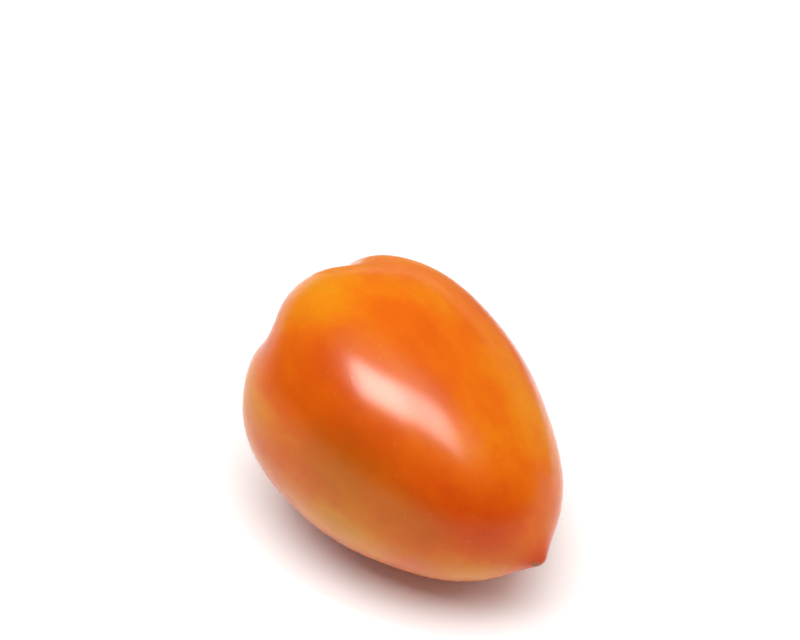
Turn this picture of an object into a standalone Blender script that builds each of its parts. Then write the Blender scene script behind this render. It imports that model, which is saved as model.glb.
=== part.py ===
"""Plum tomato, part-ripe: one whole fruit without its calyx, lying on its side.

Metres, +Z up. +X runs along the fruit from the stem end to the blossom tip, which droops. The
fruit rests at z = 0 on the small flat that its weight presses into the soft underside, and the
middle of its box is at x = y = 0.
"""

from math import acos, atan2, cos, exp, hypot, pi, radians, remainder, sin

import bmesh
import bpy
from mathutils import Matrix, Vector

# Driving dimensions: lengths in metres, angles in degrees. "Off the stem" is the angle between
# a direction and the stem end. A turn is measured about the long axis, from +Y towards +Z.

# The turned outline: a sphere of the mean radius, changed by three waves along the outline.
MEAN_RADIUS = 0.0317
ELONGATION = 0.0041  # draws out both ends
TIP_TAPER = 0.0021  # narrows the blossom end and fills out the shoulders
SQUARENESS = 0.00065  # squares the shoulders

# Cross-section: slightly oval, with the soft swell of three seed chambers.
OVALITY = 0.012
CHAMBERS = 3
CHAMBER_SWELL = 0.01
CHAMBER_TURN = 113

# The shoulders lean back further on one side of the stem.
LEAN = 0.0048
LEAN_TURN = 56
SHOULDER_END = 46  # off the stem

# Shoulder furrows, each as its turn and depth.
FURROWS = ((-3, 0.0018), (69, 0.0019), (141, 0.0019), (213, 0.0019), (283, 0.0016))
FURROW_WIDTH = 16
FURROW_MIDDLE = 25  # off the stem, where a furrow is deepest
FURROW_REACH = 23
FURROW_START = 14  # off the stem: nearer to it than this, the furrows fade out

# The hollow around the stem scar, and the point at the blossom end, which bends towards +Y.
CAVITY_DEPTH = 0.0048
CAVITY_RADIUS = 0.009
POINT_HEIGHT = 0.0032
POINT_RADIUS = 0.004
POINT_SHARPNESS = 1.3  # 2 is a round button and 1 a needle
TIP_BEND = 0.0009

# How it lies: the tip droops, and the underside is pressed flat by its weight.
DROOP = 8.6
PRESSED_FLAT = 0.0007

# Mesh density. Rings crowd towards both ends, where the hollow and the point are.
SEGMENTS = 56
RINGS = 42
RING_CROWDING = 0.25

SKIN_COLOUR = (0.76, 0.15, 0.012)  # orange red
SKIN_ROUGHNESS = 0.3


def turned_outline(off_stem):
    """Distance from the fruit's centre to its skin before any furrow or hollow."""
    return (
        MEAN_RADIUS
        + ELONGATION * cos(2 * off_stem)
        - TIP_TAPER * cos(3 * off_stem)
        - SQUARENESS * cos(5 * off_stem)
    )


def cross_section(turn):
    """Factor on the distance from the long axis."""
    chambers = CHAMBER_SWELL * cos(CHAMBERS * (turn - radians(CHAMBER_TURN)))
    return 1 + chambers + OVALITY * cos(2 * turn)


def furrow_depth(off_stem, turn):
    """How far the shoulder furrows draw the skin in."""
    along = exp(-(((off_stem - radians(FURROW_MIDDLE)) / radians(FURROW_REACH)) ** 2))
    along *= 1 - exp(-((off_stem / radians(FURROW_START)) ** 2))
    across = 0
    for middle, depth in FURROWS:
        away = remainder(turn - radians(middle), 2 * pi)
        across += depth * exp(-((away / radians(FURROW_WIDTH)) ** 2))
    return across * along


def skin_point(off_stem, turn):
    """A point of the skin with the long axis level, the centre at the origin and the tip at +X."""
    reach = turned_outline(off_stem) - furrow_depth(off_stem, turn)
    along = -reach * cos(off_stem)
    out = reach * sin(off_stem) * cross_section(turn)
    shoulder = exp(-((off_stem / radians(SHOULDER_END)) ** 4))
    along -= LEAN * cos(turn - radians(LEAN_TURN)) * shoulder * out / MEAN_RADIUS
    if off_stem < pi / 2:
        along += CAVITY_DEPTH * exp(-((out / CAVITY_RADIUS) ** 2))
    else:
        along += POINT_HEIGHT * exp(-((out / POINT_RADIUS) ** POINT_SHARPNESS))
    sideways = TIP_BEND * (max(0, along) / MEAN_RADIUS) ** 2
    return Vector((along, sideways + out * cos(turn), out * sin(turn)))


def shape_fruit(sphere):
    """Moves each point of a unit sphere, whose poles are the fruit's two ends, onto the skin."""
    for vertex in sphere.verts:
        x, y, z = vertex.co
        off_stem = acos(max(-1, min(1, z)))
        off_stem -= RING_CROWDING * sin(2 * off_stem)
        turn = atan2(x, y) if hypot(x, y) > 1e-6 else 0
        vertex.co = skin_point(off_stem, turn)


def lay_down(fruit):
    """Droops the tip, presses the underside flat and sets the fruit on z = 0 about the origin."""
    droop = Matrix.Rotation(radians(DROOP), 4, "Y")
    bmesh.ops.transform(fruit, matrix=droop, verts=fruit.verts)
    floor = min(vertex.co.z for vertex in fruit.verts) + PRESSED_FLAT
    everything = list(fruit.verts) + list(fruit.edges) + list(fruit.faces)
    bmesh.ops.bisect_plane(
        fruit,
        geom=everything,
        plane_co=(0, 0, floor),
        plane_no=(0, 0, 1),
        clear_inner=True,
    )
    rim = [edge for edge in fruit.edges if edge.is_boundary]
    bmesh.ops.holes_fill(fruit, edges=rim)
    xs = [vertex.co.x for vertex in fruit.verts]
    ys = [vertex.co.y for vertex in fruit.verts]
    middle = Vector(((min(xs) + max(xs)) / 2, (min(ys) + max(ys)) / 2, floor))
    bmesh.ops.translate(fruit, vec=-middle, verts=fruit.verts)


def skin_material():
    material = bpy.data.materials.new("tomato_skin")
    material.use_nodes = True
    shader = material.node_tree.nodes["Principled BSDF"]
    shader.inputs["Base Color"].default_value = (*SKIN_COLOUR, 1)
    shader.inputs["Roughness"].default_value = SKIN_ROUGHNESS
    shader.inputs["Metallic"].default_value = 0
    return material


def make_tomato(collection):
    fruit = bmesh.new()
    bmesh.ops.create_uvsphere(fruit, u_segments=SEGMENTS, v_segments=RINGS, radius=1)
    shape_fruit(fruit)
    lay_down(fruit)
    bmesh.ops.recalc_face_normals(fruit, faces=fruit.faces)
    mesh = bpy.data.meshes.new("tomato")
    fruit.to_mesh(mesh)
    fruit.free()
    mesh.shade_smooth()
    mesh.set_sharp_from_angle(angle=radians(40))
    mesh.materials.append(skin_material())
    collection.objects.link(bpy.data.objects.new("tomato", mesh))


def main():
    for leftover in list(bpy.data.objects):
        bpy.data.objects.remove(leftover, do_unlink=True)
    collection = bpy.data.collections.new("plum_tomato")
    bpy.context.scene.collection.children.link(collection)
    make_tomato(collection)


main()
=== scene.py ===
"""Part-ripe plum tomato, picked without its calyx and lying on its side on a pale floor."""

from math import acos, atan2, cos, exp, hypot, pi, radians, remainder, sin

import bmesh
import bpy
from mathutils import Matrix, Vector, noise


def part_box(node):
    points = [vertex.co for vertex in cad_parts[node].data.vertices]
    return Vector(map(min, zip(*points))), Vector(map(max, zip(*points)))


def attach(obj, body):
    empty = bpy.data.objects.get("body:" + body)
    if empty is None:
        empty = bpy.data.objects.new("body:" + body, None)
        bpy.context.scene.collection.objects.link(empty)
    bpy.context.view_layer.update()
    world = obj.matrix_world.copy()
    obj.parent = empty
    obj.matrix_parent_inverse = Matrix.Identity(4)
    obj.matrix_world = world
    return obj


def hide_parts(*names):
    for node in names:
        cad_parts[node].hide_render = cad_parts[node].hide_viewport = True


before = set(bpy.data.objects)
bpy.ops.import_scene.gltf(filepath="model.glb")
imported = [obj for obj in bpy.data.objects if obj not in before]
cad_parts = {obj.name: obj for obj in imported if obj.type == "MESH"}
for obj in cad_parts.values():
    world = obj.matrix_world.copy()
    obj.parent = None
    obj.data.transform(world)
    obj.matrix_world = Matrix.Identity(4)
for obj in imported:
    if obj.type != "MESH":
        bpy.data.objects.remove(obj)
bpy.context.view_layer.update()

# The fruit's shape, in metres and degrees, as the solid has it. "Off the stem" is the angle
# between a direction and the stem end. A turn goes about the long axis, from +Y towards +Z.
MEAN_RADIUS = 0.0317
ELONGATION = 0.0041
TIP_TAPER = 0.0021
SQUARENESS = 0.00065
OVALITY = 0.012
CHAMBERS = 3
CHAMBER_SWELL = 0.01
CHAMBER_TURN = 113
LEAN = 0.0048
LEAN_TURN = 56
SHOULDER_END = 46
FURROWS = ((-3, 0.0018), (69, 0.0019), (141, 0.0019), (213, 0.0019), (283, 0.0016))
FURROW_WIDTH = 16
FURROW_MIDDLE = 25
FURROW_REACH = 23
FURROW_START = 14
CAVITY_DEPTH = 0.0048
CAVITY_RADIUS = 0.009
POINT_HEIGHT = 0.0032
POINT_RADIUS = 0.004
POINT_SHARPNESS = 1.3
TIP_BEND = 0.0009
DROOP = 8.6
PRESSED_FLAT = 0.0007

# What only shows close up: the corky scar where the stalk broke off, the dry spot where the
# flower was, and the slight unevenness of a grown skin.
SCAR_RADIUS = 0.0027
SCAR_RIM = 0.0004
SCAR_RIM_WIDTH = 0.00081
SCAR_PIT = 0.0008
SCAR_PIT_RADIUS = 0.001215
DRY_TIP_RADIUS = 0.0007
DRY_TIP_DISH = 0.0003
SWELLS = ((0.024, 0.00022), (0.011, 0.00007))  # width and height of the skin's uneven swells

# Mesh density of the skin. Rings crowd towards both ends.
SEGMENTS = 288
RINGS = 208
RING_CROWDING = 0.3

# The flesh's colours under the skin as it ripens, from yellow to full red.
RIPENING = (
    (0.0, "AC8618"),
    (0.25, "DA8306"),
    (0.5, "D66202"),
    (0.75, "C84A02"),
    (1.0, "B43203"),
)
GREEN_FLESH = "68620C"
STEM_RIPENESS = 0.36
TIP_RIPENESS = 0.52
RIPENING_STARTS = -0.03  # along the fruit, from its middle
RIPENING_ENDS = 0
# Patches of ripening: turn, share of the way from stem to tip, reach in mm and change. Patches
# are longer along the fruit than round it by PATCH_STRETCH.
PATCH_STRETCH = 1.5
RIPENING_PATCHES = (
    (102, 0.26, 10, -0.14),
    (118, 0.16, 8, 0.12),
    (97, 0.15, 7, 0.25),
    (143, 0.20, 9, 0.2),
    (140, 0.33, 12, 0.22),
    (122, 0.42, 9, 0.25),
    (140, 0.47, 9, 0.14),
    (133, 0.60, 11, 0.25),
    (100, 0.60, 8, 0.12),
    (84, 0.44, 9, 0.1),
    (92, 0.76, 9, -0.12),
    (126, 0.76, 8, 0.1),
    (140, 0.79, 10, 0.2),
    (122, 0.88, 12, 0.3),
    (68, 0.42, 8, -0.1),
    (50, 0.62, 10, -0.16),
    (54, 0.77, 11, -0.2),
    (160, 0.28, 10, -0.17),
    (184, 0.63, 16, -0.3),
    (195, 0.90, 11, -0.25),
    (235, 0.50, 18, 0.25),
    (285, 0.65, 16, -0.3),
    (340, 0.40, 16, 0.25),
    (18, 0.80, 13, -0.18),
    (74, 1.0, 7, 0.35),
    (0, 0.0, 11, -0.15),
)
# Patches whose flesh is still green deeper down, which dulls and darkens the skin over it. The two
# at turns 152 and 154 lie on the lower side nearest the camera, and there the darkening is partly
# green flesh and partly painted shade.
GREEN_AND_SHADE_PATCHES = (
    (152, 0.60, 14, 0.32),
    (154, 0.78, 9, 0.2),
    (260, 0.40, 16, 0.3),
    (318, 0.75, 13, 0.25),
)

# The skin's small detail. Sizes are in millimetres where a name says so and otherwise in metres.
# A strength is how far a pattern moves the ripeness or the greenness from its lowest to highest.
STREAK_MM = 9
STREAK_STRETCH = 4
STREAK_STRENGTH = 0.35
MOTTLE_MM = 7
MOTTLE_STRENGTH = 0.3
GREEN_MOTTLE_STRENGTH = 0.12
SPECK = "F2B45A"
SPECK_SPACING_MM = 3.2
SPECK_EDGE = (0.13, 0.05)  # in spacings from a speck's middle
SPECK_SHARE = 0.08
PEEL_GRAIN_MM = 0.9
PEEL_DEPTH = 0.00001
WAX_ROUGHNESS = (0.18, 0.24)
WAX_IOR = 1.31
FLESH_GLOW = 0.15
FLESH_GLOW_DEPTH = 0.003
FLESH_GLOW_SPREAD = (1, 0.35, 0.1)  # red light spreads the furthest through the flesh
CORK_PALE = "C08A52"
CORK_DARK = "4C2A12"
CORK_GRAIN_MM = 0.5
CORK_DEPTH = 0.00012
CORK_ROUGHNESS = 0.8
CORK_WEAR = 1.2
CRACKS_ROUND = 5  # how finely the cracks divide the scar's turn

# The camera, in degrees and metres, about the fruit's middle.
CAMERA_AZIMUTH = 49.6
CAMERA_ELEVATION = 50
CAMERA_DISTANCE = 0.4
CAMERA_LENS = 88.6
AIM_RIGHT = -0.0042
AIM_ABOVE = 0.0225

# The studio. The floor fades into the backdrop between the two distances of FLOOR_FADE.
PAPER = (0.92, 0.92, 0.92, 1)
FLOOR_SIDE = 4
FLOOR_FADE = (0.5, 1.0)
BACKDROP = 1.1
# The walls' glow on the fruit and the floor, from the dimmest wall to the brightest. GLOW_SPAN is
# the cosines of the angles from GLOW_FROM at which it starts and is full.
GLOW = (0.16, 0.72)
GLOW_FROM = (221.6, 30)
GLOW_SPAN = (-0.25, 0.7)
# What the gloss sees above the floor instead of that glow, besides the softboxes: a dim sky that
# brightens below LOW_SKY_TOP, so that the floor's edge doesn't show as a line in the gloss.
GLOSS_SKY = 0.1
GLOSS_LOW_SKY = 0.6
LOW_SKY_TOP = 0.15
# Softboxes: the azimuth and height of each end, the width in metres and the power in watts.
SOFTBOX_DISTANCE = 2.5
KEY_SOFTBOX = ((-48, 60), (106, 62), 1.5, 63)
FILL_SOFTBOX = ((0, 88), (112, 46), 0.9, 9)
SHINE_SOFTBOX = ((-16, 61), (95, 56), 0.85, 122)
SHINE_CORE_SOFTBOX = ((-16, 61), (52, 66), 0.85, 40)
CARD = "E8B48C"
CARD_AZIMUTH = 200
CARD_DISTANCE = 0.085
CARD_MIDDLE = 0.02
CARD_SIZE = (0.22, 0.05, 1)


def turned_outline(off_stem):
    return (
        MEAN_RADIUS
        + ELONGATION * cos(2 * off_stem)
        - TIP_TAPER * cos(3 * off_stem)
        - SQUARENESS * cos(5 * off_stem)
    )


def cross_section(turn):
    chambers = CHAMBER_SWELL * cos(CHAMBERS * (turn - radians(CHAMBER_TURN)))
    return 1 + chambers + OVALITY * cos(2 * turn)


def furrow_depth(off_stem, turn):
    along = exp(-(((off_stem - radians(FURROW_MIDDLE)) / radians(FURROW_REACH)) ** 2))
    along *= 1 - exp(-((off_stem / radians(FURROW_START)) ** 2))
    across = 0
    for middle, depth in FURROWS:
        away = remainder(turn - radians(middle), 2 * pi)
        across += depth * exp(-((away / radians(FURROW_WIDTH)) ** 2))
    return across * along


def scar_relief(out):
    """The stem scar stands up as a low rim around a pit."""
    rim = exp(-(((out - SCAR_RADIUS) / SCAR_RIM_WIDTH) ** 2))
    pit = exp(-((out / SCAR_PIT_RADIUS) ** 2))
    return SCAR_RIM * rim - SCAR_PIT * pit


def skin_point(off_stem, turn):
    """A point of the skin with the long axis level, the centre at the origin and the tip at +X."""
    reach = turned_outline(off_stem) - furrow_depth(off_stem, turn)
    along = -reach * cos(off_stem)
    out = reach * sin(off_stem) * cross_section(turn)
    shoulder = exp(-((off_stem / radians(SHOULDER_END)) ** 4))
    along -= LEAN * cos(turn - radians(LEAN_TURN)) * shoulder * out / MEAN_RADIUS
    if off_stem < pi / 2:
        along += CAVITY_DEPTH * exp(-((out / CAVITY_RADIUS) ** 2)) - scar_relief(out)
    else:
        along += POINT_HEIGHT * exp(-((out / POINT_RADIUS) ** POINT_SHARPNESS))
        along -= DRY_TIP_DISH * exp(-((out / DRY_TIP_RADIUS) ** 2))
    sideways = TIP_BEND * (max(0, along) / MEAN_RADIUS) ** 2
    return Vector((along, sideways + out * cos(turn), out * sin(turn)))


def uneven(point):
    """Height of the skin's slow swells at this point."""
    return sum(height * noise.noise(point / width) for width, height in SWELLS)


def shape_fruit(sphere):
    """Moves a unit sphere's points onto the skin. Each point keeps where that is before the fruit
    is laid down as its place as grown, so that patterns can follow the long axis."""
    grown = sphere.verts.layers.float_vector.new("grown_place")
    for vertex in sphere.verts:
        x, y, z = vertex.co
        off_stem = acos(max(-1, min(1, z)))
        off_stem -= RING_CROWDING * sin(2 * off_stem)
        turn = atan2(x, y) if hypot(x, y) > 1e-6 else 0
        point = skin_point(off_stem, turn)
        vertex.co = point + point.normalized() * uneven(point)
        vertex[grown] = vertex.co


def lay_down(fruit):
    """Droops the tip, fits the fruit to its solid's box and presses the underside flat."""
    droop = Matrix.Rotation(radians(DROOP), 4, "Y")
    bmesh.ops.transform(fruit, matrix=droop, verts=fruit.verts)
    points = [vertex.co for vertex in fruit.verts]
    low = Vector([min(point[axis] for point in points) for axis in range(3)])
    high = Vector([max(point[axis] for point in points) for axis in range(3)])
    low.z += PRESSED_FLAT
    box_low, box_high = (Vector(corner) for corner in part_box("tomato"))
    size = (box_high.x - box_low.x) / (high.x - low.x)
    middle = (low + high) / 2
    box_middle = (box_low + box_high) / 2
    for vertex in fruit.verts:
        vertex.co = (vertex.co - middle) * size
        vertex.co += box_middle
        vertex.co.z = max(vertex.co.z, box_low.z)


def linear(code):
    """An sRGB hex colour as linear RGBA."""
    shares = [int(code[start : start + 2], 16) / 255 for start in (0, 2, 4)]
    bent = [c / 12.92 if c <= 0.04045 else ((c + 0.055) / 1.055) ** 2.4 for c in shares]
    return (*bent, 1)


def add(tree, kind, inputs=None, **settings):
    """Adds a node. An input is a value or the socket that it is linked from."""
    made = tree.nodes.new("ShaderNode" + kind)
    for name, value in settings.items():
        setattr(made, name, value)
    for socket, value in (inputs or {}).items():
        if isinstance(value, bpy.types.NodeSocket):
            tree.links.new(value, made.inputs[socket])
        else:
            made.inputs[socket].default_value = value
    return made


def new_material(name):
    material = bpy.data.materials.new(name)
    material.use_nodes = True
    return material, material.node_tree, material.node_tree.nodes["Principled BSDF"]


def patchwork(tree, place, patches, ground):
    """The ground value, raised or lowered in soft-edged patches that lie along the fruit."""
    shorten = (1 / PATCH_STRETCH, 1, 1)
    shortened = add(tree, "VectorMath", {0: place, 1: shorten}, operation="MULTIPLY")
    total = ground
    for turn, share, reach, change in patches:
        centre = skin_point(share * pi, radians(turn)) * Vector(shorten)
        away = add(
            tree, "VectorMath", {0: shortened.outputs["Vector"], 1: centre}, operation="DISTANCE"
        )
        patch = add(
            tree, "MapRange",
            {
                "Value": away.outputs["Value"],
                "From Max": reach / 1000,
                "To Min": change,
                "To Max": 0,
            },
            interpolation_type="SMOOTHSTEP",
        )
        total = add(tree, "Math", {0: total, 1: patch.outputs["Result"]}).outputs[0]
    return total


def unsettle(tree, value, pattern, strength):
    """Adds a pattern about its middle, so that the value goes up and down by half the strength."""
    raised = add(tree, "Math", {0: pattern, 1: strength, 2: value}, operation="MULTIPLY_ADD")
    return add(
        tree, "Math", {0: raised.outputs[0], 1: strength / 2}, operation="SUBTRACT"
    ).outputs[0]


def between(tree, value, start, end):
    """0 where the value is at the start or before it, and 1 at the end or past it."""
    return add(
        tree, "MapRange", {"Value": value, "From Min": start, "From Max": end},
        interpolation_type="SMOOTHSTEP",
    ).outputs["Result"]


def tint(tree, share, colour, over):
    """Lays a colour over another by a share."""
    return add(
        tree, "Mix", {0: share, 6: colour, 7: over}, data_type="RGBA"
    ).outputs[2]


def ripening_skin():
    """Tomato skin part way through ripening: a clear waxy skin over flesh that colours in patches
    from the tip up, so the eye gets a soft gloss with olive, orange and red mottled under it. The
    dull dark patches on the lower side nearest the camera are partly painted shade. The
    stem scar and the dry spot at the tip are cork, which is tan, matte and cracked."""
    material, tree, shader = new_material("ripening_tomato_skin")
    place = add(tree, "Attribute", attribute_name="grown_place").outputs["Vector"]
    along = add(tree, "SeparateXYZ", {0: place}).outputs["X"]
    across = add(tree, "VectorMath", {0: place, 1: (0, 1, 1)}, operation="MULTIPLY").outputs[0]
    off_axis = add(tree, "VectorMath", {0: across}, operation="LENGTH").outputs["Value"]
    long_grain = add(
        tree, "VectorMath", {0: place, 1: (1 / STREAK_STRETCH, 1, 1)}, operation="MULTIPLY"
    ).outputs[0]
    streaks = add(
        tree, "TexNoise",
        {"Vector": long_grain, "Scale": 1000 / STREAK_MM, "Detail": 4, "Roughness": 0.6},
    ).outputs["Fac"]
    mottle = add(
        tree, "TexNoise",
        {"Vector": place, "Scale": 1000 / MOTTLE_MM, "Detail": 5, "Roughness": 0.65},
    ).outputs["Fac"]

    ripe = add(
        tree, "MapRange",
        {
            "Value": along,
            "From Min": RIPENING_STARTS,
            "From Max": RIPENING_ENDS,
            "To Min": STEM_RIPENESS,
            "To Max": TIP_RIPENESS,
        },
    ).outputs["Result"]
    ripe = patchwork(tree, place, RIPENING_PATCHES, ripe)
    ripe = unsettle(tree, ripe, streaks, STREAK_STRENGTH)
    ripe = unsettle(tree, ripe, mottle, MOTTLE_STRENGTH)
    flesh = add(tree, "ValToRGB", {0: ripe})
    ramp = flesh.color_ramp.elements
    ramp[0].position, ramp[0].color = RIPENING[0][0], linear(RIPENING[0][1])
    ramp[1].position, ramp[1].color = RIPENING[-1][0], linear(RIPENING[-1][1])
    for position, code in RIPENING[1:-1]:
        ramp.new(position).color = linear(code)

    # Darkens the skin where the flesh is still green; on the lower side nearest the camera this
    # darkening is partly painted shade.
    green_and_shade = patchwork(tree, place, GREEN_AND_SHADE_PATCHES, 0.0)
    green_and_shade = unsettle(tree, green_and_shade, mottle, GREEN_MOTTLE_STRENGTH)
    colour = tint(tree, green_and_shade, flesh.outputs["Color"], linear(GREEN_FLESH))

    specks = add(tree, "TexVoronoi", {"Vector": place, "Scale": 1000 / SPECK_SPACING_MM})
    speck = between(tree, specks.outputs["Distance"], *SPECK_EDGE)
    speck = add(tree, "Math", {0: speck, 1: SPECK_SHARE}, operation="MULTIPLY").outputs[0]
    colour = tint(tree, speck, colour, linear(SPECK))

    spokes = add(tree, "VectorMath", {0: across}, operation="NORMALIZE").outputs[0]
    cracks = add(
        tree, "TexNoise",
        {"Vector": spokes, "Scale": CRACKS_ROUND, "Detail": 4, "Roughness": 0.7},
    ).outputs["Fac"]
    ragged = unsettle(tree, off_axis, cracks, 2 * SCAR_RIM + SCAR_PIT)
    scar = between(tree, ragged, 1.25 * SCAR_RADIUS, SCAR_RADIUS)
    stem_end = between(tree, along, 0, -0.01)
    scar = add(tree, "Math", {0: scar, 1: stem_end}, operation="MULTIPLY").outputs[0]
    tip = between(tree, off_axis, 1.5 * DRY_TIP_RADIUS, 0.4 * DRY_TIP_RADIUS)
    dry = add(tree, "Math", {0: scar, 1: tip}, operation="MAXIMUM").outputs[0]
    grain = add(
        tree, "TexNoise", {"Vector": place, "Scale": 1000 / CORK_GRAIN_MM, "Detail": 4}
    ).outputs["Fac"]
    worn = unsettle(tree, grain, cracks, CORK_WEAR)
    cork_colour = tint(tree, worn, linear(CORK_DARK), linear(CORK_PALE))
    colour = tint(tree, dry, colour, cork_colour)
    tree.links.new(colour, shader.inputs["Base Color"])

    gloss = add(
        tree, "MapRange", {"Value": mottle, "To Min": WAX_ROUGHNESS[0], "To Max": WAX_ROUGHNESS[1]}
    ).outputs["Result"]
    rough = add(
        tree, "Mix", {0: dry, 2: gloss, 3: CORK_ROUGHNESS}, data_type="FLOAT"
    ).outputs[0]
    tree.links.new(rough, shader.inputs["Roughness"])

    peel = add(
        tree, "TexNoise", {"Vector": place, "Scale": 1000 / PEEL_GRAIN_MM, "Detail": 2}
    ).outputs["Fac"]
    height = add(tree, "Mix", {0: dry, 2: peel, 3: grain}, data_type="FLOAT").outputs[0]
    depth = add(
        tree, "Mix", {0: dry, 2: PEEL_DEPTH, 3: CORK_DEPTH}, data_type="FLOAT"
    ).outputs[0]
    scaled = add(tree, "Math", {0: height, 1: depth}, operation="MULTIPLY").outputs[0]
    bump = add(tree, "Bump", {"Height": scaled, "Distance": 1, "Strength": 1})
    tree.links.new(bump.outputs["Normal"], shader.inputs["Normal"])

    shader.inputs["IOR"].default_value = WAX_IOR
    shader.inputs["Subsurface Weight"].default_value = FLESH_GLOW
    shader.inputs["Subsurface Radius"].default_value = FLESH_GLOW_SPREAD
    shader.inputs["Subsurface Scale"].default_value = FLESH_GLOW_DEPTH
    return material


def make_tomato():
    fruit = bmesh.new()
    bmesh.ops.create_uvsphere(fruit, u_segments=SEGMENTS, v_segments=RINGS, radius=1)
    shape_fruit(fruit)
    lay_down(fruit)
    mesh = bpy.data.meshes.new("tomato_skin")
    fruit.to_mesh(mesh)
    fruit.free()
    mesh.shade_smooth()
    mesh.materials.append(ripening_skin())
    tomato = bpy.data.objects.new("tomato_skin", mesh)
    bpy.context.collection.objects.link(tomato)
    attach(tomato, "root")
    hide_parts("tomato")


def make_floor():
    """White paper, so the eye gets a clean shadow. It fades away far off, so no horizon shows."""
    bpy.ops.mesh.primitive_plane_add(size=FLOOR_SIDE)
    floor = bpy.context.object
    floor.name = "floor"
    material, tree, shader = new_material("matte_white_paper")
    shader.inputs["Base Color"].default_value = PAPER
    shader.inputs["Roughness"].default_value = 0.9
    shader.inputs["Specular IOR Level"].default_value = 0.1
    place = add(tree, "TexCoord").outputs["Object"]
    away = add(tree, "VectorMath", {0: place}, operation="LENGTH").outputs["Value"]
    tree.links.new(between(tree, away, FLOOR_FADE[1], FLOOR_FADE[0]), shader.inputs["Alpha"])
    floor.data.materials.append(material)


def direction(azimuth, elevation):
    """The unit vector towards a place seen at this azimuth, 0 at -Y and 90 at +X, and height."""
    level = cos(radians(elevation))
    turn = radians(azimuth)
    return Vector((sin(turn) * level, -cos(turn) * level, sin(radians(elevation))))


def add_softbox(name, one_end, other_end, width, power):
    """A rectangular light that reaches from one direction to another, as the fruit sees them."""
    one_end = direction(*one_end)
    other_end = direction(*other_end)
    back = (one_end + other_end).normalized()
    long_side = one_end - other_end
    across = back.cross(long_side).normalized()
    light = bpy.data.lights.new(name, "AREA")
    light.shape = "RECTANGLE"
    light.size = long_side.length * SOFTBOX_DISTANCE / back.dot(one_end)
    light.size_y = width
    light.energy = power
    softbox = bpy.data.objects.new(name, light)
    turned = Matrix((long_side.normalized(), across, back)).transposed().to_4x4()
    softbox.matrix_world = Matrix.Translation(back * SOFTBOX_DISTANCE) @ turned
    softbox.visible_camera = False
    bpy.context.collection.objects.link(softbox)
    return softbox


def stand_card():
    """A matte peach card that only the gloss sees, so the eye gets warm gloss on the far side."""
    place = direction(CARD_AZIMUTH, 0) * CARD_DISTANCE + Vector((0, 0, CARD_MIDDLE))
    facing = (pi / 2, 0, radians(CARD_AZIMUTH - 180))
    bpy.ops.mesh.primitive_plane_add(size=1, location=place, rotation=facing)
    card = bpy.context.object
    card.name = "card"
    card.scale = CARD_SIZE
    material, _, shader = new_material("peach_card")
    shader.inputs["Base Color"].default_value = linear(CARD)
    shader.inputs["Roughness"].default_value = 1
    shader.inputs["Specular IOR Level"].default_value = 0
    card.data.materials.append(material)
    card.visible_camera = False
    card.visible_diffuse = False
    card.visible_shadow = False
    card.visible_transmission = False


def light_studio():
    """The key lights the flesh and the floor, the two shines only the gloss, and the fill both."""
    key = add_softbox("key_softbox", *KEY_SOFTBOX)
    key.visible_glossy = False
    add_softbox("fill_softbox", *FILL_SOFTBOX)
    shine = add_softbox("shine_softbox", *SHINE_SOFTBOX)
    shine.visible_diffuse = False
    core = add_softbox("shine_core_softbox", *SHINE_CORE_SOFTBOX)
    core.visible_diffuse = False


def light_world():
    """A pale studio, with one brightness for the camera, one for the gloss and one for the rest."""
    world = bpy.data.worlds.new("white_studio")
    bpy.context.scene.world = world
    world.use_nodes = True
    tree = world.node_tree
    background = tree.nodes["Background"]
    background.inputs["Color"].default_value = (1, 1, 1, 1)
    place = add(tree, "TexCoord").outputs["Generated"]
    farness = add(
        tree, "VectorMath", {0: place, 1: direction(*GLOW_FROM)}, operation="DOT_PRODUCT"
    ).outputs["Value"]
    glow = add(
        tree, "MapRange",
        {
            "Value": farness,
            "From Min": GLOW_SPAN[0],
            "From Max": GLOW_SPAN[1],
            "To Min": GLOW[0],
            "To Max": GLOW[1],
        },
        interpolation_type="SMOOTHSTEP",
    ).outputs["Result"]
    height = add(tree, "SeparateXYZ", {0: place}).outputs["Z"]
    low_sky = between(tree, height, LOW_SKY_TOP, 0)
    gloss = add(
        tree, "Mix", {0: low_sky, 2: GLOSS_SKY, 3: GLOSS_LOW_SKY}, data_type="FLOAT"
    ).outputs[0]
    ray = add(tree, "LightPath").outputs
    strength = add(
        tree, "Mix", {0: ray["Is Glossy Ray"], 2: glow, 3: gloss}, data_type="FLOAT"
    ).outputs[0]
    strength = add(
        tree, "Mix", {0: ray["Is Camera Ray"], 2: strength, 3: BACKDROP}, data_type="FLOAT"
    ).outputs[0]
    tree.links.new(strength, background.inputs["Strength"])


def place_camera():
    low, high = (Vector(corner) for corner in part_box("tomato"))
    middle = (low + high) / 2
    away = direction(CAMERA_AZIMUTH, CAMERA_ELEVATION)
    right = Vector((cos(radians(CAMERA_AZIMUTH)), sin(radians(CAMERA_AZIMUTH)), 0))
    above = away.cross(right)
    camera = bpy.data.objects.new("camera", bpy.data.cameras.new("camera"))
    camera.data.lens = CAMERA_LENS
    camera.location = middle + away * CAMERA_DISTANCE
    aim = middle + right * AIM_RIGHT + above * AIM_ABOVE
    camera.rotation_euler = (camera.location - aim).to_track_quat("Z", "Y").to_euler()
    bpy.context.collection.objects.link(camera)
    bpy.context.scene.camera = camera


make_tomato()
make_floor()
stand_card()
light_studio()
light_world()
place_camera()
bpy.context.scene.view_settings.view_transform = "Standard"
